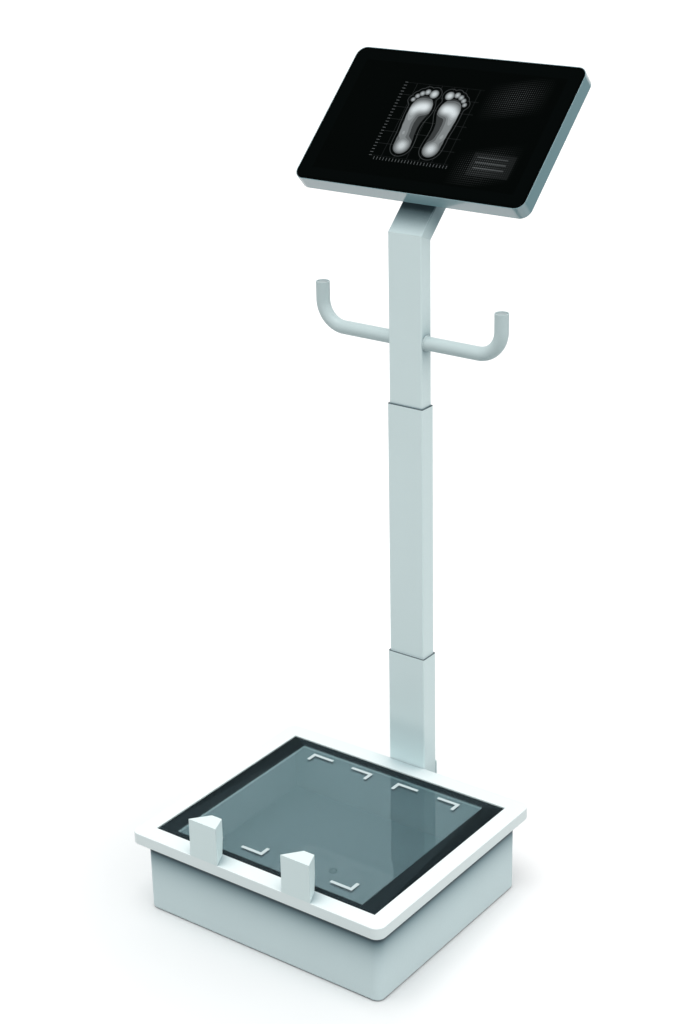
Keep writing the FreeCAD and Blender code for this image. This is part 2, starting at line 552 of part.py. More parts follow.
def display_shell():
    """Display's rear housing: a deep tray with a glass rebate, vents, cable way and button hole."""
    body = display_slab(0, DISPLAY_R, DISPLAY_FRONT, DISPLAY_BACK)
    body = body.makeChamfer(2.0, level_edges(body, "Y", DISPLAY_BACK))
    inner_r = DISPLAY_R - DISPLAY_WALL
    vent_y0, vent_y1 = DISPLAY_BACK - 2 * DISPLAY_WALL, DISPLAY_BACK + 1
    top = DISPLAY_LOW + DISPLAY_H - 34
    vents = [box(x - 14, vent_y0, z, x + 14, vent_y1, z + 3)
             for x, z in grid(range(-144, 145, 36), (top - 8, top))]
    return drill(body, vents + [
        display_slab(1.0, DISPLAY_R - 1, DISPLAY_FRONT - 1, DISPLAY_FRONT + FRONT_GLASS_T),
        display_slab(DISPLAY_WALL, inner_r, DISPLAY_FRONT, DISPLAY_BACK - DISPLAY_WALL),
        rod(BUTTON_R + 0.3, (BUTTON_X, vent_y0, BUTTON_Z), Y_AXIS, vent_y1 - vent_y0),
        rod(CABLE_R, (0, vent_y0, DISPLAY_MID), Y_AXIS, vent_y1 - vent_y0),
    ])


def display_parts():
    """Everything that the display shell holds, in the head's frame."""
    panel_front = DISPLAY_FRONT + FRONT_GLASS_T
    panel = box(-208, panel_front, DISPLAY_MID - 122, 208, PANEL_BACK, DISPLAY_MID + 122)
    frame = standing(ring((2 * (DISPLAY_W / 2 - DISPLAY_WALL), 232, 0), (392, 200, 0), 0, 2),
                     0, PANEL_BACK, DISPLAY_MID)
    board = box(-205, PANEL_BACK + 2, DISPLAY_MID - 46, -55, PANEL_BACK + 3.6, DISPLAY_MID + 44)
    button_seat = DISPLAY_BACK - DISPLAY_WALL - 0.3
    button = join([rod(BUTTON_R, (BUTTON_X, button_seat, BUTTON_Z), Y_AXIS, DISPLAY_WALL + 1.5),
                   rod(BUTTON_R + 1.2, (BUTTON_X, button_seat - 1.4, BUTTON_Z), Y_AXIS, 1.4)])
    button_board = box(BUTTON_X - 12, PANEL_BACK + 2, BUTTON_Z - 6,
                       BUTTON_X + 12, PANEL_BACK + 9, BUTTON_Z + 6)
    return {
        "display_glass": display_slab(1.3, DISPLAY_R - 1.3, DISPLAY_FRONT, panel_front),
        "screen_panel": panel,
        "panel_frame": frame,
        "display_boards": group([board, button_board]),
        "display_button": button,
    }


def display_bracket():
    """Pressed bracket between the arm and the display: two plates and a flared, hollow neck."""
    arm_plate = standing(slab(68, 116, 6, 0, BRACKET_T), 0, -BRACKET_T, DISPLAY_MID)
    screen_plate = standing(slab(120, 120, 6, 0, BRACKET_T), 0, DISPLAY_BACK, DISPLAY_MID)
    y0, y1 = DISPLAY_BACK + BRACKET_T, -BRACKET_T
    neck = moved(Part.makeWedge(-42, y0, -35, -32, -30, 42, y1, 35, 32, 30), 0, 0, DISPLAY_MID)
    core = moved(Part.makeWedge(-39, y0, -32, -29, -27, 39, y1, 32, 29, 27), 0, 0, DISPLAY_MID)
    cable_way = standing(slab(40, 40, 0, 0, MOUNT_GAP), 0, DISPLAY_BACK, DISPLAY_MID)
    return {"display_bracket": drill(join([arm_plate, screen_plate, neck]), [core, cable_way])}


# ---------------------------------------------------------------- assembly
def base_parts():
    """Nodes of the scanner base."""
    parts = {
        "top_frame": top_frame(),
        "heel_stop_left": heel_stop(-STOP_X),
        "heel_stop_right": heel_stop(STOP_X),
        "base_housing": base_housing(),
        "bottom_plate": bottom_plate(),
        "rubber_feet": rubber_feet(),
        "foot_marks": foot_marks(),
        "inner_posts": inner_posts(),
    }
    for nodes in (glass_stack(), chamber(), camera(), electronics(), power_inlet(), power_switch()):
        parts.update(nodes)
    return parts


def head_parts():
    """Nodes of the display and its bracket, placed on the leaning head."""
    local = {"display_shell": display_shell(), **display_parts(), **display_bracket()}
    return {name: to_head(shape) for name, shape in local.items()}


def main():
    parts = base_parts()
    for nodes in (lower_mast(), mid_mast(), upper_mast(), grips(), head_parts()):
        parts.update(nodes)
    os.makedirs("parts", exist_ok=True)
    for name, shape in parts.items():
        shape.exportStep("parts/%s.step" % name)


main()
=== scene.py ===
import math

import bmesh
import bpy
from mathutils import Matrix, Vector


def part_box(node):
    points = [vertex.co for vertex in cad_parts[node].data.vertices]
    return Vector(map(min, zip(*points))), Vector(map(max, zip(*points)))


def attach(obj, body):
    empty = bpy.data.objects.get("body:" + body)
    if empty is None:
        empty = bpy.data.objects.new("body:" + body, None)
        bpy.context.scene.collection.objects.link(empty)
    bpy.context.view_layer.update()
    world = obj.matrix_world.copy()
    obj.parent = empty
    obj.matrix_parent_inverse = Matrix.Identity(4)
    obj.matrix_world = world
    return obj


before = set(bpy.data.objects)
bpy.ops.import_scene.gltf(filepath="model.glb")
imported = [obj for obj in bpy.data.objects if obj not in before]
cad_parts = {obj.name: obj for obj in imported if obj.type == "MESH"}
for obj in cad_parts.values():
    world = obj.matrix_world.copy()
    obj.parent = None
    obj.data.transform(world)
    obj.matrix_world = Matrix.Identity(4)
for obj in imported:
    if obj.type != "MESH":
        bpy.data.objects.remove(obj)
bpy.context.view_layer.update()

# ---------------------------------------------------------------- places, in metres and degrees
AZIMUTH, ELEVATION, ROLL = 36.693, 22.510, -1.250
FOCAL_PX, FRAME_PX, SENSOR = 1937.1, 1024, 36.0    # focal length and frame in pixels, sensor in millimetres
DISTANCE = 3.271
TARGET = Vector((0.03464, 0.0, 0.77655))

WINDOW_X, WINDOW_Y = 0.205, 0.189             # half sizes of the clear window in the foot plate
WINDOW_MID_Y = -0.002
RIM_SHADE_TOP = 0.122                             # height above which the housing's painted shade under the rim is darkest
LEAN = math.radians(46.7)                     # lean of the mast's head and of the display
BEND = Vector((0.0, 0.246, 1.1979))           # bend line on the mast's front face
SCREEN_MID = 0.1911                           # middle of the display, measured up the head
DISPLAY_BACK = -0.0239                        # back of the display, measured from the head's front face
GRIP_Z, GRIP_RADIUS = 1.0047, 0.0127
MAST_Y, MAST_SIDE = 0.261, 0.035              # the upper stage's middle and its half width


def on_head(x, y, z):
    """A point of the head's own frame: x across, y away from the user, z up the head."""
    back = y * math.cos(LEAN) + z * math.sin(LEAN)
    rise = z * math.cos(LEAN) - y * math.sin(LEAN)
    return BEND + Vector((x, back, rise))


HEAD_BACK = on_head(0, 1, 0) - BEND           # direction out of the back of the head
HEAD_UP = on_head(0, 0, 1) - BEND             # direction up the head


# ---------------------------------------------------------------- node helpers
RED_FALL, BLUE_FALL = 1.19, 0.93              # how fast red and blue fall in a painted shade, beside green
MATT_ROUGHNESS, MATT_SHARE = 0.62, 0.15       # skin of a matt face, and what it keeps of the gloss


def rgba(r, g, b):
    return (r, g, b, 1.0)


def shaded(colour, level):
    """A colour scaled in brightness, as a socket value."""
    return rgba(*(c * level for c in colour))


class Shade:
    """Builds one node material; most methods return an output socket, so that calls can be nested."""

    def __init__(self, name):
        self.material = bpy.data.materials.new(name)
        self.material.use_nodes = True
        self.tree = self.material.node_tree
        self.tree.nodes.clear()
        self.coord = self.tree.nodes.new("ShaderNodeTexCoord").outputs["Object"]

    def node(self, kind, links=None, **settings):
        """Makes a node from its settings and its inputs, which are sockets or plain values."""
        made = self.tree.nodes.new(kind)
        for key, value in settings.items():
            setattr(made, key, value)
        for key, value in (links or {}).items():
            if isinstance(value, bpy.types.NodeSocket):
                self.tree.links.new(value, made.inputs[key])
            else:
                made.inputs[key].default_value = value
        return made

    def noise(self, scale, detail=4.0, vector=None):
        links = {"Vector": vector or self.coord, "Scale": scale, "Detail": detail}
        return self.node("ShaderNodeTexNoise", links).outputs["Fac"]

    def stretched(self, x, y, z):
        return self.node("ShaderNodeMapping", {"Vector": self.coord, "Scale": (x, y, z)}).outputs[0]

    def math(self, operation, a, b=0.0, c=0.0):
        return self.node("ShaderNodeMath", {0: a, 1: b, 2: c}, operation=operation).outputs[0]

    def product(self, *values):
        result = values[0]
        for value in values[1:]:
            result = self.math("MULTIPLY", result, value)
        return result

    def total(self, *values):
        result = values[0]
        for value in values[1:]:
            result = self.math("ADD", result, value)
        return result

    def split(self, vector):
        return self.node("ShaderNodeSeparateXYZ", {"Vector": vector}).outputs

    def dot(self, a, b):
        return self.node("ShaderNodeVectorMath", {0: a, 1: b}, operation="DOT_PRODUCT").outputs["Value"]

    def geometry(self, output):
        return self.node("ShaderNodeNewGeometry").outputs[output]

    def ramp(self, value, low_in, high_in, low_out=0.0, high_out=1.0):
        """A value carried from one range to another, and held at both ends."""
        links = {"Value": value, "From Min": low_in, "From Max": high_in,
                 "To Min": low_out, "To Max": high_out}
        return self.node("ShaderNodeMapRange", links).outputs["Result"]

    def between(self, value, low_edge, high_edge):
        """1 where a value lies between two limits."""
        above = self.math("GREATER_THAN", value, low_edge)
        return self.product(above, self.math("LESS_THAN", value, high_edge))

    def inside(self, x, y, half_x, half_y):
        """1 inside a rectangle round the middle."""
        near_x = self.math("LESS_THAN", self.math("ABSOLUTE", x), half_x)
        near_y = self.math("LESS_THAN", self.math("ABSOLUTE", y), half_y)
        return self.product(near_x, near_y)

    def lines(self, value, pitch, width):
        """1 on lines of a given width, one every pitch."""
        return self.math("LESS_THAN", self.math("PINGPONG", value, pitch / 2), width / 2)

    def blend(self, factor, a, b):
        return self.node("ShaderNodeMix", {0: factor, 6: a, 7: b}, data_type="RGBA").outputs[2]

    def dimmed(self, colour, level):
        """A colour scaled in brightness for painted shade, a little cooler where it is darker."""
        red = self.math("POWER", level, RED_FALL)
        blue = self.math("POWER", level, BLUE_FALL)
        scale = self.node("ShaderNodeCombineXYZ", {"X": red, "Y": level, "Z": blue}).outputs[0]
        links = {0: 1.0, 6: colour, 7: scale}
        return self.node("ShaderNodeMix", links, data_type="RGBA", blend_type="MULTIPLY").outputs[2]

    def rounded(self, radius):
        return self.node("ShaderNodeBevel", {"Radius": radius}, samples=4).outputs[0]

    def worn(self, radius):
        """1 along the part's outer edges, 0 on its faces."""
        return self.ramp(self.dot(self.rounded(radius), self.geometry("Normal")), 0.99, 0.85)

    def bump(self, height, distance, edge):
        links = {"Height": height, "Strength": 0.6, "Distance": distance, "Normal": self.rounded(edge)}
        return self.node("ShaderNodeBump", links).outputs[0]

    def principled(self, **sockets):
        links = {key.replace("_", " "): value for key, value in sockets.items()}
        return self.node("ShaderNodeBsdfPrincipled", links).outputs[0]

    def finish(self, shader):
        self.node("ShaderNodeOutputMaterial", {"Surface": shader})
        return self.material


# ---------------------------------------------------------------- painted shade, which stays with the object
def painted_occlusion_shade(s, tint, bottom, kept, reach, shut, free):
    """Darkens a colour where other surfaces shut a spot in: painted shade, from an ambient occlusion node.

    Surfaces nearer than reach count. The colour is darkest where a spot is no more open than shut, and
    plain where it is as open as free. Below the height bottom, every spot is at least as open as kept.
    """
    openness = s.node("ShaderNodeAmbientOcclusion", {"Distance": reach}, samples=24).outputs["AO"]
    low = s.math("LESS_THAN", s.split(s.coord)["Z"], bottom)
    openness = s.math("MAXIMUM", openness, s.product(low, kept))
    return s.dimmed(tint, s.ramp(openness, shut, free, 0.06, 1.0))


def painted_overhang_shade(s, tint, top, reach):
    """Painted shade under an overhang: most above the height top, fading below it over about reach."""
    depth = s.math("DIVIDE", s.math("SUBTRACT", s.split(s.coord)["Z"], top), reach)
    shade = s.product(s.math("EXPONENT", s.math("MINIMUM", depth, 0.0)), 0.93)
    return s.dimmed(tint, s.math("SUBTRACT", 1.0, shade))


def painted_shadow_band(s, tint, direction, middle, reach, depth):
    """Paints a soft band of shadow across the left and right faces, where a direction reads middle."""
    away = s.math("DIVIDE", s.math("SUBTRACT", s.dot(s.coord, direction), middle), reach)
    sideways = s.math("ABSOLUTE", s.split(s.geometry("True Normal"))["X"])
    fade = s.math("EXPONENT", s.product(away, away, -1.0))
    band = s.product(fade, s.math("GREATER_THAN", sideways, 0.7))
    return s.dimmed(tint, s.math("SUBTRACT", 1.0, s.product(band, depth)))


# ---------------------------------------------------------------- finishes
def coated(name, colour, roughness, grain, relief, edge=0.0008, mottle=0.04, wear=1.06,
           shelter=None, overhang=None, band=None, matt=None, **extra):
    """Paint or moulded plastic: skin texture, slightly uneven colour and gloss, rubbed edges.

    shelter, overhang and band hold the values of the three painted shades above. matt is a direction and a
    colour: the faces that look that way are matt and have that colour.
    """
    s = Shade(name)
    broad = s.noise(7.0)
    skin = s.noise(grain, 2.0)
    tint = s.blend(broad, shaded(colour, 1 - mottle), shaded(colour, 1 + mottle / 2))
    tint = s.blend(s.ramp(skin, 0.35, 0.65, 0.0, 0.25), tint, shaded(colour, 1 - 2 * mottle))
    rubbed = s.product(s.worn(edge), s.noise(45.0))
    tint = s.blend(rubbed, tint, shaded(colour, wear))
    # painted shade: darker colour where a spot is shut in, under an overhang, and in a band
    if shelter:
        tint = painted_occlusion_shade(s, tint, **shelter)
    if overhang:
        tint = painted_overhang_shade(s, tint, **overhang)
    if band:
        tint = painted_shadow_band(s, tint, **band)
    gloss = s.ramp(broad, 0.3, 0.7, roughness * 0.88, roughness * 1.12)
    gloss = s.product(gloss, s.ramp(rubbed, 0.0, 1.0, 1.0, 0.7))
    if matt:
        direction, plain = matt
        facing = s.math("GREATER_THAN", s.dot(s.geometry("True Normal"), direction), 0.8)
        tint = s.blend(facing, tint, s.blend(broad, shaded(plain, 0.97), shaded(plain, 1.03)))
        gloss = s.ramp(facing, 0.0, 1.0, gloss, MATT_ROUGHNESS)
        extra = {key: s.ramp(facing, 0.0, 1.0, value, value * MATT_SHARE) for key, value in extra.items()}
    normal = s.bump(skin, relief, edge)
    return s.finish(s.principled(Base_Color=tint, Roughness=gloss, Normal=normal, **extra))


def brushed(name, colour, roughness):
    """Bare metal with fine upright drawing marks and a little tarnish."""
    s = Shade(name)
    streaks = s.noise(1500.0, 3.0, s.stretched(1.0, 1.0, 0.04))
    tint = s.blend(streaks, shaded(colour, 0.8), shaded(colour, 1.05))
    tint = s.blend(s.ramp(s.noise(30.0), 0.5, 0.8, 0.0, 0.4), tint, shaded(colour, 0.65))
    gloss = s.ramp(streaks, 0.3, 0.7, roughness * 0.8, roughness * 1.3)
    normal = s.bump(streaks, 0.00002, 0.0003)
    return s.finish(s.principled(Base_Color=tint, Metallic=1.0, Roughness=gloss, Normal=normal))


PANE_CLEAR = rgba(0.965, 0.98, 0.98)
PANE_MIRROR = rgba(0.6, 0.95, 1.0)
FILM_GREY = (0.047, 0.061, 0.073)


def foot_pane(name, share, border_share, haze, film=0.0):
    """Clear pane that shows what is under it, with a faint mirror image on its upper face.

    The mirror image has a share of what plain glass shows, and border_share over the printed border.
    A film is the share of the upper face that a thin grey coating covers.
    """
    s = Shade(name)
    place = s.split(s.coord)
    along = s.math("SUBTRACT", place["Y"], WINDOW_MID_Y)
    window = s.inside(place["X"], along, WINDOW_X, WINDOW_Y)
    up = s.math("GREATER_THAN", s.split(s.geometry("True Normal"))["Z"], 0.5)
    outer = s.math("SUBTRACT", 1.0, s.geometry("Backfacing"))
    fresnel = s.node("ShaderNodeFresnel", {"IOR": 1.5}).outputs[0]
    mirrored = s.product(fresnel, up, outer, s.ramp(window, 0.0, 1.0, border_share, share))
    smears = s.noise(14.0, 5.0, s.stretched(1.0, 0.35, 1.0))
    clear = s.node("ShaderNodeBsdfTransparent", {"Color": PANE_CLEAR}).outputs[0]
    if film:
        grey = s.blend(smears, shaded(FILM_GREY, 0.97), shaded(FILM_GREY, 1.03))
        coat = s.node("ShaderNodeBsdfDiffuse", {"Color": grey}).outputs[0]
        covered = s.product(up, outer, film)
        clear = s.node("ShaderNodeMixShader", {0: covered, 1: clear, 2: coat}).outputs[0]
    links = {"Color": PANE_MIRROR, "Roughness": s.ramp(smears, 0.45, 0.8, 0.0, haze)}
    mirror = s.node("ShaderNodeBsdfGlossy", links).outputs[0]
    return s.finish(s.node("ShaderNodeMixShader", {0: mirrored, 1: clear, 2: mirror}).outputs[0])


# ---------------------------------------------------------------- screen picture, in millimetres
MM = 1000.0                                   # millimetres in a metre
PICTURE = (200.0, 114.0)                      # half sizes of the lit picture, the panel and the dark rim
PANEL = (206.0, 118.0)
GLASS_RIM = (229.0, 138.0)
FEET_X, FEET_UP, FOOT_OFFSET = -18.0, 2.0, 29.0    # middle of the pair, and from there to each foot
GRID_LEFT, GRID_RIGHT, GRID_END = -96.0, 60.0, 78.0
GRID_PITCH, GRID_LINE = 26.0, 0.7
TICK_PITCH, TICK_LINE = 6.5, 1.0
TICK_NEAR, TICK_FAR = 2.0, 8.0                # ends of a tick, measured out from the grid
TICK_MARGIN = 0.4                             # room for the last tick beyond the grid's ends
DOT_PITCH, DOT_WIDTH, DOTS_X = 4.0, 1.4, 128.0
CARD_X, CARD_UP = (100.0, 182.0), (-92.0, -46.0)
BARS_X, BARS_UP = (108.0, 168.0), (-84.0, -54.0)
BAR_PITCH, BAR_WIDTH, BAR_AT = 11.0, 3.0, -76.5
SOLE_ROUNDING, LINE_ROUNDING, LINE_GAP = 9.0, 8.0, 5.0
LINE_GLOW, GRID_GLOW, TICK_GLOW, DOT_GLOW, CARD_GLOW, BAR_GLOW = 0.05, 0.02, 0.12, 0.09, 0.009, 0.05
PICTURE_TINT = (0.9, 0.975, 1.0)

# Circles of one foot: place along it, place across it towards the little toe, radius.
SOLE = [(-54, 1, 17), (-40, 2, 17), (-24, 3, 16), (-8, 4, 17), (8, 3, 19), (22, 0, 21.5), (31, 0, 20.5)]
TOES = [(57, -13, 9.5), (60, 1.5, 6.6), (56, 11, 6.0), (50, 18.5, 5.6), (42, 24, 5.2)]
# Loaded places of the sole: the same, with a brightness.
LOADS = [(-54, 1, 12, 0.60), (-30, 10, 11, 0.22), (-14, 12, 11, 0.20), (4, 12, 11, 0.24),
         (29, -9, 11, 0.60), (29, 5, 12, 0.50), (20, 14, 10, 0.40)]


def footprints(s, right, up):
    """Brightness of two generic footprints, toes up, and of a thin line round them."""
    apart = s.math("ABSOLUTE", s.math("SUBTRACT", right, FEET_X))
    links = {"X": s.math("SUBTRACT", up, FEET_UP), "Y": s.math("SUBTRACT", apart, FOOT_OFFSET)}
    place = s.node("ShaderNodeCombineXYZ", links).outputs[0]

    def away(x, y):
        made = s.node("ShaderNodeVectorMath", {0: place, 1: (x, y, 0.0)}, operation="DISTANCE")
        return made.outputs["Value"]

    def circle(x, y, radius):
        return s.math("SUBTRACT", away(x, y), radius)

    sole = circle(*SOLE[0])
    for spot in SOLE[1:]:
        sole = s.math("SMOOTH_MIN", sole, circle(*spot), SOLE_ROUNDING)
    toes = circle(*TOES[0])
    for spot in TOES[1:]:
        toes = s.math("MINIMUM", toes, circle(*spot))
    load = 0.0
    for x, y, width, weight in LOADS:
        spread = s.math("POWER", s.math("DIVIDE", away(x, y), width), 2.0)
        load = s.total(s.product(s.math("EXPONENT", s.math("MULTIPLY", spread, -1.0)), weight), load)
    bands = s.math("SNAP", s.total(load, s.product(s.noise(60.0, 3.0), 0.06)), 0.09)
    sole_level = s.ramp(bands, 0.0, 0.7, 0.045, 0.80)
    toe_level = s.ramp(toes, 0.0, -7.0, 0.06, 0.65)
    level = s.math("MAXIMUM", s.product(s.ramp(sole, 0.0, -1.0), sole_level),
                   s.product(s.ramp(toes, 0.0, -1.0), toe_level))
    outer = s.math("SUBTRACT", s.math("SMOOTH_MIN", sole, toes, LINE_ROUNDING), LINE_GAP)
    return level, s.ramp(s.math("ABSOLUTE", outer), 0.9, 0.2, 0.0, LINE_GLOW)


def grid_with_ticks(s, right, up):
    """Faint grid behind the feet, with ticks along its left and lower sides."""
    field = s.product(s.between(right, GRID_LEFT, GRID_RIGHT), s.between(up, -GRID_END, GRID_END))
    columns, rows = s.lines(right, GRID_PITCH, GRID_LINE), s.lines(up, GRID_PITCH, GRID_LINE)
    grid = s.product(s.math("MAXIMUM", columns, rows), field, GRID_GLOW)
    left = s.product(s.lines(up, TICK_PITCH, TICK_LINE),
                     s.between(right, GRID_LEFT - TICK_FAR, GRID_LEFT - TICK_NEAR),
                     s.between(up, -GRID_END - TICK_MARGIN, GRID_END + TICK_MARGIN), TICK_GLOW)
    lower = s.product(s.lines(right, TICK_PITCH, TICK_LINE),
                      s.between(up, -GRID_END - TICK_FAR, -GRID_END - TICK_NEAR),
                      s.between(right, GRID_LEFT - TICK_MARGIN, GRID_RIGHT + TICK_MARGIN), TICK_GLOW)
    return s.total(grid, left, lower)


def dots(s, right, up):
    """Faint dots at the right, which two slanting waves brighten."""
    slope = s.math("SUBTRACT", up, s.product(right, 0.25))
    wave = s.math("SINE", s.product(slope, 0.045))
    spread = s.ramp(s.math("ABSOLUTE", s.math("SUBTRACT", right, DOTS_X)), 62.0, 10.0)
    level = s.ramp(wave, -0.3, 1.0, 0.0, DOT_GLOW)
    return s.product(s.lines(right, DOT_PITCH, DOT_WIDTH), s.lines(up, DOT_PITCH, DOT_WIDTH), level, spread)


def card_with_bars(s, right, up):
    """Small card with bars at the lower right."""
    card = s.product(s.between(right, *CARD_X), s.between(up, *CARD_UP), CARD_GLOW)
    rows = s.lines(s.math("SUBTRACT", up, BAR_AT), BAR_PITCH, BAR_WIDTH)
    bars = s.product(s.between(up, *BARS_UP), rows, s.between(right, *BARS_X), BAR_GLOW)
    return s.total(card, bars)


def display_front():
    """Black front glass with the lit picture of the panel behind it."""
    s = Shade("display_front_glass")
    middle = on_head(0, 0, SCREEN_MID).dot(HEAD_UP)
    right = s.product(s.split(s.coord)["X"], MM)
    up = s.product(s.math("SUBTRACT", s.dot(s.coord, HEAD_UP), middle), MM)
    level, line = footprints(s, right, up)
    grid, card = grid_with_ticks(s, right, up), card_with_bars(s, right, up)
    backdrop = s.total(line, grid, dots(s, right, up), card)
    lit = s.product(s.inside(right, up, *PICTURE), s.math("MAXIMUM", level, backdrop))
    light = s.node("ShaderNodeVectorMath", {0: PICTURE_TINT, 3: lit}, operation="SCALE").outputs[0]
    tint = s.blend(s.noise(300.0, 2.0), rgba(0.0006, 0.0012, 0.001), rgba(0.001, 0.0018, 0.0016))
    off_panel = s.math("SUBTRACT", 1.0, s.inside(right, up, *PANEL))
    rim = s.product(s.inside(right, up, *GLASS_RIM), off_panel)
    tint = s.blend(rim, tint, rgba(0.0012, 0.0021, 0.0020))
    smears = s.ramp(s.noise(11.0, 5.0), 0.4, 0.75, 0.04, 0.12)
    return s.finish(s.principled(Base_Color=tint, Roughness=smears, Specular_IOR_Level=0.005,
                                 Emission_Color=light, Emission_Strength=1.0))


# ---------------------------------------------------------------- materials of the CAD nodes
MAST_COLOUR = (0.74, 0.865, 0.868)
# painted shade where the mast and the frame's top are shut in, and a painted shadow band on the arm's sides
MAST_PAINTED_SHADE = {"bottom": 0.40, "kept": 0.88, "reach": 0.12, "shut": 0.435, "free": 0.95}
FRAME_PAINTED_SHADE = {"bottom": 0.1655, "kept": 1.0, "reach": 0.09, "shut": 0.15, "free": 0.93}
ARM_PAINTED_SHADOW = {"direction": HEAD_UP, "middle": BEND.dot(HEAD_UP) + 0.055, "reach": 0.035, "depth": 0.65}

# powder coat of the mast and head, with painted shade where shut in, and on the arm a painted shadow band
mast_paint = coated("mast_powder_coat_painted_shade", MAST_COLOUR, 0.5, 1300.0, 0.00002, wear=1.03,
                    shelter=MAST_PAINTED_SHADE)
head_paint = coated("head_powder_coat_painted_shade", MAST_COLOUR, 0.5, 1300.0, 0.00002, wear=1.03,
                    shelter=MAST_PAINTED_SHADE, band=ARM_PAINTED_SHADOW)
# the grips' powder coat is the mast's, its colour painted darker as shade
grip_paint = coated("grip_powder_coat_painted_shade", (0.555, 0.665, 0.672), 0.45, 1300.0, 0.00002, wear=1.05)
# white frame moulding, with painted shade on its top where the mast and stops shut it in
frame_plastic = coated("frame_moulding_painted_shade", (0.79, 0.87, 0.87), 0.4, 1500.0, 0.00001, wear=1.03,
                       shelter=FRAME_PAINTED_SHADE)
stop_plastic = coated("heel_stop_moulding", (0.73, 0.85, 0.85), 0.45, 1500.0, 0.00001, wear=1.03)
# housing powder coat, with painted shade under the rim
housing_paint = coated("housing_powder_coat_painted_shade", (0.70, 0.83, 0.845), 0.55, 800.0, 0.00004, mottle=0.07,
                       overhang={"top": RIM_SHADE_TOP, "reach": 0.020})
display_plastic = coated("display_moulding", (0.12, 0.255, 0.285), 0.12, 1500.0, 0.000004, mottle=0.02,
                         matt=(HEAD_BACK, (0.30, 0.38, 0.39)), Specular_IOR_Level=1.0,
                         Coat_Weight=1.0, Coat_Roughness=0.05)
black_plastic = coated("black_moulding", (0.03, 0.032, 0.034), 0.5, 900.0, 0.00003, mottle=0.2, wear=1.8)
seam_plastic = coated("liner_at_seams", (0.085, 0.125, 0.14), 0.55, 900.0, 0.00003, mottle=0.1)
# plugs in the grip ends, their grey painted shade as inside an open tube
plug_plastic = coated("plug_moulding_painted_shade", (0.40, 0.47, 0.48), 0.5, 900.0, 0.00002)
light_plastic = coated("opal_moulding", (0.70, 0.76, 0.76), 0.5, 700.0, 0.00002)
rubber = coated("black_rubber", (0.022, 0.022, 0.024), 0.8, 500.0, 0.00006, mottle=0.25, wear=1.6)
board_green = coated("circuit_board", (0.03, 0.17, 0.09), 0.35, 250.0, 0.00003, mottle=0.3, wear=1.5)
border_black = coated("printed_border", (0.010, 0.018, 0.022), 0.7, 900.0, 0.000002, edge=0.0004,
                      mottle=0.1, Specular_IOR_Level=0.1)
liner_grey = coated("liner_moulding", (0.255, 0.277, 0.31), 0.6, 300.0, 0.00002, mottle=0.1)
mark_print = coated("printed_marks", (0.51, 0.60, 0.61), 0.6, 900.0, 0.000004, edge=0.0002, wear=1.0)
floor_gloss = coated("glossy_floor", (0.11, 0.125, 0.145), 0.01, 200.0, 0.0000002, mottle=0.05,
                     Specular_IOR_Level=0.35)
lens_glass = coated("camera_lens_glass", (0.006, 0.007, 0.012), 0.03, 200.0, 0.0000005, mottle=0.2)
steel = brushed("zinc_plated_steel", (0.60, 0.61, 0.62), 0.32)
aluminium = brushed("extruded_aluminium", (0.72, 0.73, 0.74), 0.36)
brass = brushed("turned_brass", (0.78, 0.60, 0.30), 0.28)
upper_glass = foot_pane("foot_plate_upper_pane", 0.58, 0.05, 0.04)
lower_glass = foot_pane("foot_plate_lower_pane", 1.85, 0.1, 0.01, film=0.55)

FINISHES = [
    (head_paint, ["head_arm"]),
    (mast_paint, ["lower_stage", "mid_stage", "upper_stage", "arm_end_cap", "mast_back_plate",
                  "lower_lock_block", "mid_lock_block", "display_bracket"]),
    (grip_paint, ["grip_left", "grip_right"]),
    (frame_plastic, ["top_frame"]),
    (stop_plastic, ["heel_stop_left", "heel_stop_right"]),
    (housing_paint, ["base_housing", "bottom_plate"]),
    (display_plastic, ["display_shell"]),
    (black_plastic, ["mast_foot", "cable_grommet", "mid_glide", "upper_glide",
                     "inlet_socket", "switch_frame", "switch_rocker", "display_button", "camera_barrel",
                     "screen_panel"]),
    (seam_plastic, ["lower_liner", "mid_liner"]),
    (plug_plastic, ["grip_plugs"]),
    (light_plastic, ["lamp_covers"]),
    (rubber, ["rubber_feet", "glass_gasket"]),
    (board_green, ["camera_board", "main_board", "display_boards"]),
    (border_black, ["glass_border"]),
    (liner_grey, ["chamber_liner"]),
    (mark_print, ["foot_marks"]),
    (floor_gloss, ["chamber_floor"]),
    (lens_glass, ["camera_lens"]),
    (steel, ["power_supply", "mast_backing_plates", "mast_sleeves", "mast_bolts", "lower_lock_screw",
             "mid_lock_screw", "panel_frame"]),
    (aluminium, ["lamp_bars", "heat_sink", "mast_spacers"]),
    (brass, ["inner_posts", "inlet_pins"]),
    (upper_glass, ["glass_upper_pane"]),
    (lower_glass, ["glass_lower_pane"]),
    (display_front(), ["display_glass"]),
]
for material, nodes in FINISHES:
    for name in nodes:
        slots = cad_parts[name].data.materials
        slots.clear()
        slots.append(material)


# ---------------------------------------------------------------- small fixings, which the CAD leaves out
CROSS = [(0.42, -0.1), (0.42, 0.1), (0.1, 0.1), (0.1, 0.42), (-0.1, 0.42), (-0.1, 0.1),
         (-0.42, 0.1), (-0.42, -0.1), (-0.1, -0.1), (-0.1, -0.42), (0.1, -0.42), (0.1, -0.1)]
HEXAGON = [(0.5 * math.cos(math.radians(60 * i)), 0.5 * math.sin(math.radians(60 * i))) for i in range(6)]
DOME = [(1.0, 0.0), (1.0, 0.45), (0.9, 0.82), (0.7, 1.0)]     # shares of a head's radius and height

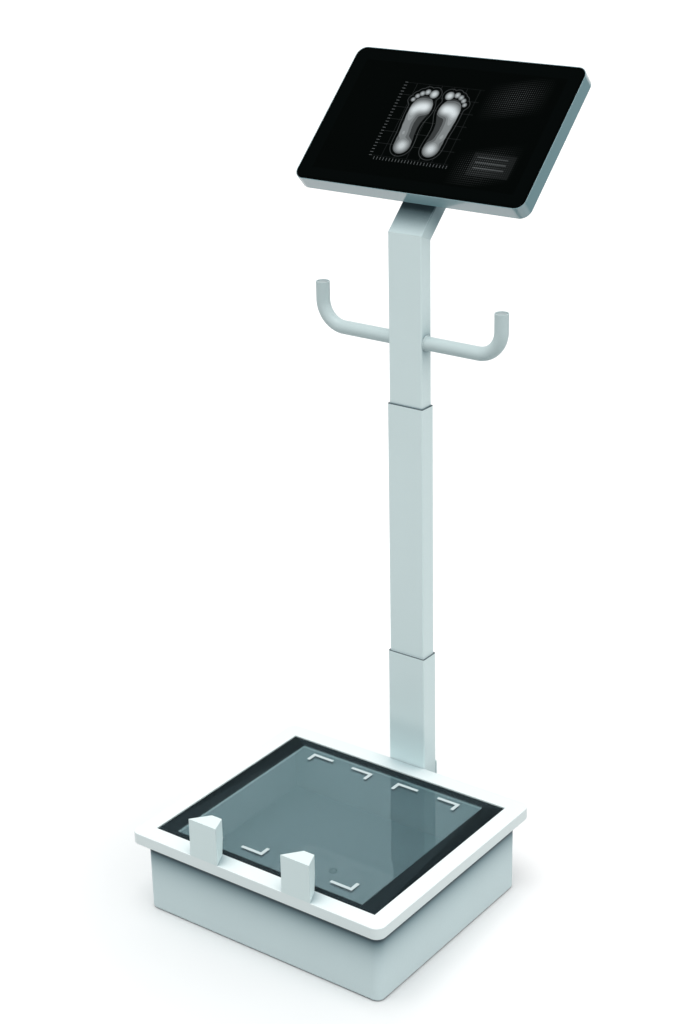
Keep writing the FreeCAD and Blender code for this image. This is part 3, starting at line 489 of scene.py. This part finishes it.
PLATE = 0.003                                 # thickness of the bracket's two plates
PLATE_SCREW = 0.051                           # half the spacing of the screws in the plate on the display
ARM_SCREW_X, ARM_SCREW_Z = 0.022, 0.045       # the same for the plate on the arm
SHELL_SCREWS_X, SHELL_SCREW_Z = (-0.218, -0.11, 0.11, 0.218), 0.127
UNDERSIDE = 0.002                             # height of the bottom plate's lower face
SIDE_SCREW_X, SIDE_SCREWS_Y = 0.2515, (-0.15, -0.05, 0.05, 0.15)
END_SCREW_Y, END_SCREWS_X = 0.2135, (-0.18, -0.06, 0.06, 0.18)
LOCK_SCREW_RADIUS = 0.003

PLATE_HEAD = (0.0045, 0.0028)                 # radius and height of each kind of head
SHELL_HEAD = (0.0032, 0.0006)
UNDERSIDE_HEAD = (0.003, 0.0012)
LOCK_HEAD = (0.0029, 0.0006)
BEAD_RADIUS, BEAD_STAND, RIPPLES = 0.0016, 0.0004, 22


def loop(bm, place, points, z):
    """A closed ring of vertices at height z."""
    return [bm.verts.new(place @ Vector((x, y, z))) for x, y in points]


def skin_between(bm, lower, upper):
    for i, vertex in enumerate(lower):
        j = (i + 1) % len(lower)
        bm.faces.new((vertex, lower[j], upper[j], upper[i]))


def screw_head(bm, foot, outwards, radius, height, recess):
    """A domed round head on a surface, with a driver recess sunk into its top."""
    place = Matrix.Translation(foot) @ outwards.to_track_quat("Z", "Y").to_matrix().to_4x4()
    circle = [(math.cos(math.radians(15 * i)), math.sin(math.radians(15 * i))) for i in range(24)]
    rings = [loop(bm, place, [(x * radius * r, y * radius * r) for x, y in circle], height * z)
             for r, z in DOME]
    for lower, upper in zip(rings, rings[1:]):
        skin_between(bm, lower, upper)
    inner = [(x * radius, y * radius) for x, y in recess]
    mouth = loop(bm, place, inner, height)
    floor = loop(bm, place, inner, height - 0.35 * radius)
    skin_between(bm, mouth, floor)
    bm.faces.new(floor)
    edges = [bm.edges.get((ring[i], ring[i - 1])) or bm.edges.new((ring[i], ring[i - 1]))
             for ring in (rings[-1], mouth) for i in range(len(ring))]
    bmesh.ops.triangle_fill(bm, use_beauty=True, edges=edges)


def weld_bead(bm, x):
    """A rippled bead of weld round a grip where it meets the mast."""
    around, across = 90, 8
    rings = []
    for i in range(around):
        turn = 2 * math.pi * i / around
        bead = BEAD_RADIUS * (1 + 0.16 * math.sin(RIPPLES * turn))
        section = []
        for j in range(across):
            tip = 2 * math.pi * j / across
            reach = GRIP_RADIUS + bead * math.sin(tip)
            section.append(bm.verts.new((x + bead * math.cos(tip), MAST_Y + reach * math.cos(turn),
                                         GRIP_Z + reach * math.sin(turn))))
        rings.append(section)
    for i, section in enumerate(rings):
        skin_between(bm, section, rings[(i + 1) % around])


def add_piece(name, bm, material, body):
    mesh = bpy.data.meshes.new(name)
    bmesh.ops.recalc_face_normals(bm, faces=bm.faces)
    bm.to_mesh(mesh)
    bm.free()
    mesh.shade_smooth()
    mesh.set_sharp_from_angle(angle=math.radians(40))
    mesh.materials.append(material)
    piece = bpy.data.objects.new(name, mesh)
    bpy.context.scene.collection.objects.link(piece)
    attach(piece, body)


def screws(name, body, spots, outwards, radius, height, recess=CROSS):
    bm = bmesh.new()
    for spot in spots:
        screw_head(bm, spot, outwards, radius, height, recess)
    add_piece(name, bm, steel, body)


def add_welds():
    beads = bmesh.new()
    weld_bead(beads, -MAST_SIDE - BEAD_STAND)
    weld_bead(beads, MAST_SIDE + BEAD_STAND)
    add_piece("grip_welds", beads, grip_paint, "upper_mast")


def add_head_screws():
    """Screws of the bracket's two plates and of the display's shell."""
    bracket = [on_head(x, DISPLAY_BACK + PLATE, SCREEN_MID + z)
               for x in (-PLATE_SCREW, PLATE_SCREW) for z in (-PLATE_SCREW, PLATE_SCREW)]
    screws("bracket_screws", "upper_mast", bracket, HEAD_BACK, *PLATE_HEAD)
    arm = [on_head(x, -PLATE, SCREEN_MID + z)
           for x in (-ARM_SCREW_X, ARM_SCREW_X) for z in (-ARM_SCREW_Z, ARM_SCREW_Z)]
    screws("arm_screws", "upper_mast", arm, -HEAD_BACK, *PLATE_HEAD)
    shell = [on_head(x, DISPLAY_BACK, SCREEN_MID + z)
             for x in SHELL_SCREWS_X for z in (-SHELL_SCREW_Z, SHELL_SCREW_Z)]
    screws("shell_screws", "upper_mast", shell, HEAD_BACK, *SHELL_HEAD)


def add_underside_screws():
    sides = [Vector((x, y, UNDERSIDE)) for x in (-SIDE_SCREW_X, SIDE_SCREW_X) for y in SIDE_SCREWS_Y]
    ends = [Vector((x, y, UNDERSIDE)) for x in END_SCREWS_X for y in (-END_SCREW_Y, END_SCREW_Y)]
    screws("underside_screws", "base", sides + ends, Vector((0, 0, -1)), *UNDERSIDE_HEAD)


def add_lock_sockets():
    """The hexagon sockets in the ends of the two screws that clamp the stages."""
    lower_end, mid_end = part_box("lower_lock_screw")[1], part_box("mid_lock_screw")[1]
    sockets = [("lower_lock_socket", "base", lower_end), ("mid_lock_socket", "middle_mast", mid_end)]
    for name, body, end in sockets:
        spot = Vector((0, end[1], end[2] - LOCK_SCREW_RADIUS))
        screws(name, body, [spot], Vector((0, 1, 0)), *LOCK_HEAD, HEXAGON)


add_welds()
add_head_screws()
add_underside_screws()
add_lock_sockets()


# ---------------------------------------------------------------- stage: floor, light, camera
FLOOR_HALF = 14.0
NEAR_FLOOR = (rgba(0.795, 0.812, 0.815), rgba(0.80, 0.817, 0.82))
FAR_FLOOR = rgba(0.925, 0.925, 0.925)
THROWN_BACK = rgba(0.29, 0.32, 0.325)         # the floor's colour for light that it sends on to the object
FRONT_FADE = (0.42, 0.85)                     # distances over which the near colour ends in front
BACK_FADE = (0.05, 0.40)                      # the same towards the back and the right, as x + y
MIRROR_FADE = (3.5, 2.0)                      # past the first, mirror images show the dark colour alone,
                                              # and within the second the pale one alone


def stage_floor():
    """White floor, a little darker in front of the object, so that the soft shade there shows.

    It sends only part of its light on to the object.
    """
    size = FLOOR_HALF
    corners = [(-size, -size, 0), (size, -size, 0), (size, size, 0), (-size, size, 0)]
    mesh = bpy.data.meshes.new("floor")
    mesh.from_pydata(corners, [], [(0, 1, 2, 3)])
    floor = bpy.data.objects.new("floor", mesh)
    bpy.context.scene.collection.objects.link(floor)
    s = Shade("studio_floor")
    place = s.split(s.coord)
    away = s.node("ShaderNodeVectorMath", {0: s.coord}, operation="LENGTH").outputs["Value"]
    behind = s.ramp(s.total(place["X"], place["Y"]), *BACK_FADE)
    far = s.math("MAXIMUM", behind, s.ramp(away, *FRONT_FADE))
    pale = s.blend(far, s.blend(s.noise(1.5, 2.0), *NEAR_FLOOR), FAR_FLOOR)
    path = s.node("ShaderNodeLightPath").outputs
    mirrored = s.product(path["Is Glossy Ray"], s.ramp(away, *MIRROR_FADE))
    direct = s.math("MAXIMUM", path["Is Camera Ray"], path["Is Transmission Ray"])
    tint = s.blend(s.math("MAXIMUM", direct, mirrored), THROWN_BACK, pale)
    mesh.materials.append(s.finish(s.principled(Base_Color=tint, Roughness=0.9, Specular_IOR_Level=0.1)))


def world_light(strength):
    """Even light from all round; it shows as plain white."""
    world = bpy.data.worlds.new("studio")
    bpy.context.scene.world = world
    world.use_nodes = True
    tree = world.node_tree
    tree.nodes.clear()
    path = tree.nodes.new("ShaderNodeLightPath")
    seen = path.outputs["Is Camera Ray"]
    for ray in ("Is Glossy Ray", "Is Transmission Ray"):
        either = tree.nodes.new("ShaderNodeMath")
        either.operation = "MAXIMUM"
        tree.links.new(seen, either.inputs[0])
        tree.links.new(path.outputs[ray], either.inputs[1])
        seen = either.outputs[0]
    level = tree.nodes.new("ShaderNodeMapRange")
    level.inputs["To Min"].default_value = strength
    level.inputs["To Max"].default_value = 1.0
    tree.links.new(seen, level.inputs["Value"])
    background = tree.nodes.new("ShaderNodeBackground")
    background.inputs["Color"].default_value = rgba(1.0, 1.0, 1.0)
    tree.links.new(level.outputs["Result"], background.inputs["Strength"])
    tree.links.new(background.outputs[0], tree.nodes.new("ShaderNodeOutputWorld").inputs["Surface"])


def soft_sun(name, towards, spread, power):
    """Light from far away in one direction, softened over an angle of spread degrees."""
    data = bpy.data.lights.new(name, "SUN")
    data.energy = power
    data.angle = math.radians(spread)
    lamp = bpy.data.objects.new(name, data)
    lamp.rotation_euler = Vector(towards).to_track_quat("Z", "Y").to_euler()
    bpy.context.scene.collection.objects.link(lamp)


def place_camera():
    az, el, roll = (math.radians(a) for a in (AZIMUTH, ELEVATION, ROLL))
    back = Vector((math.sin(az) * math.cos(el), -math.cos(az) * math.cos(el), math.sin(el)))
    level_right = Vector((math.cos(az), math.sin(az), 0.0))
    level_up = back.cross(level_right)
    right = level_right * math.cos(roll) + level_up * math.sin(roll)
    up = level_up * math.cos(roll) - level_right * math.sin(roll)
    data = bpy.data.cameras.new("camera")
    data.sensor_width = SENSOR
    data.lens = FOCAL_PX * SENSOR / FRAME_PX
    data.clip_end = 100.0
    camera = bpy.data.objects.new("camera", data)
    turn = Matrix((right, up, back)).transposed().to_4x4()
    camera.matrix_world = Matrix.Translation(TARGET + back * DISTANCE) @ turn
    bpy.context.scene.collection.objects.link(camera)
    bpy.context.scene.camera = camera


stage_floor()
world_light(strength=0.76)
soft_sun("overhead", towards=(0.0, -0.22, 1.0), spread=40.0, power=1.6)
soft_sun("side", towards=(1.0, 0.1, 0.25), spread=60.0, power=0.62)
place_camera()

bpy.context.scene.view_settings.view_transform = "Standard"
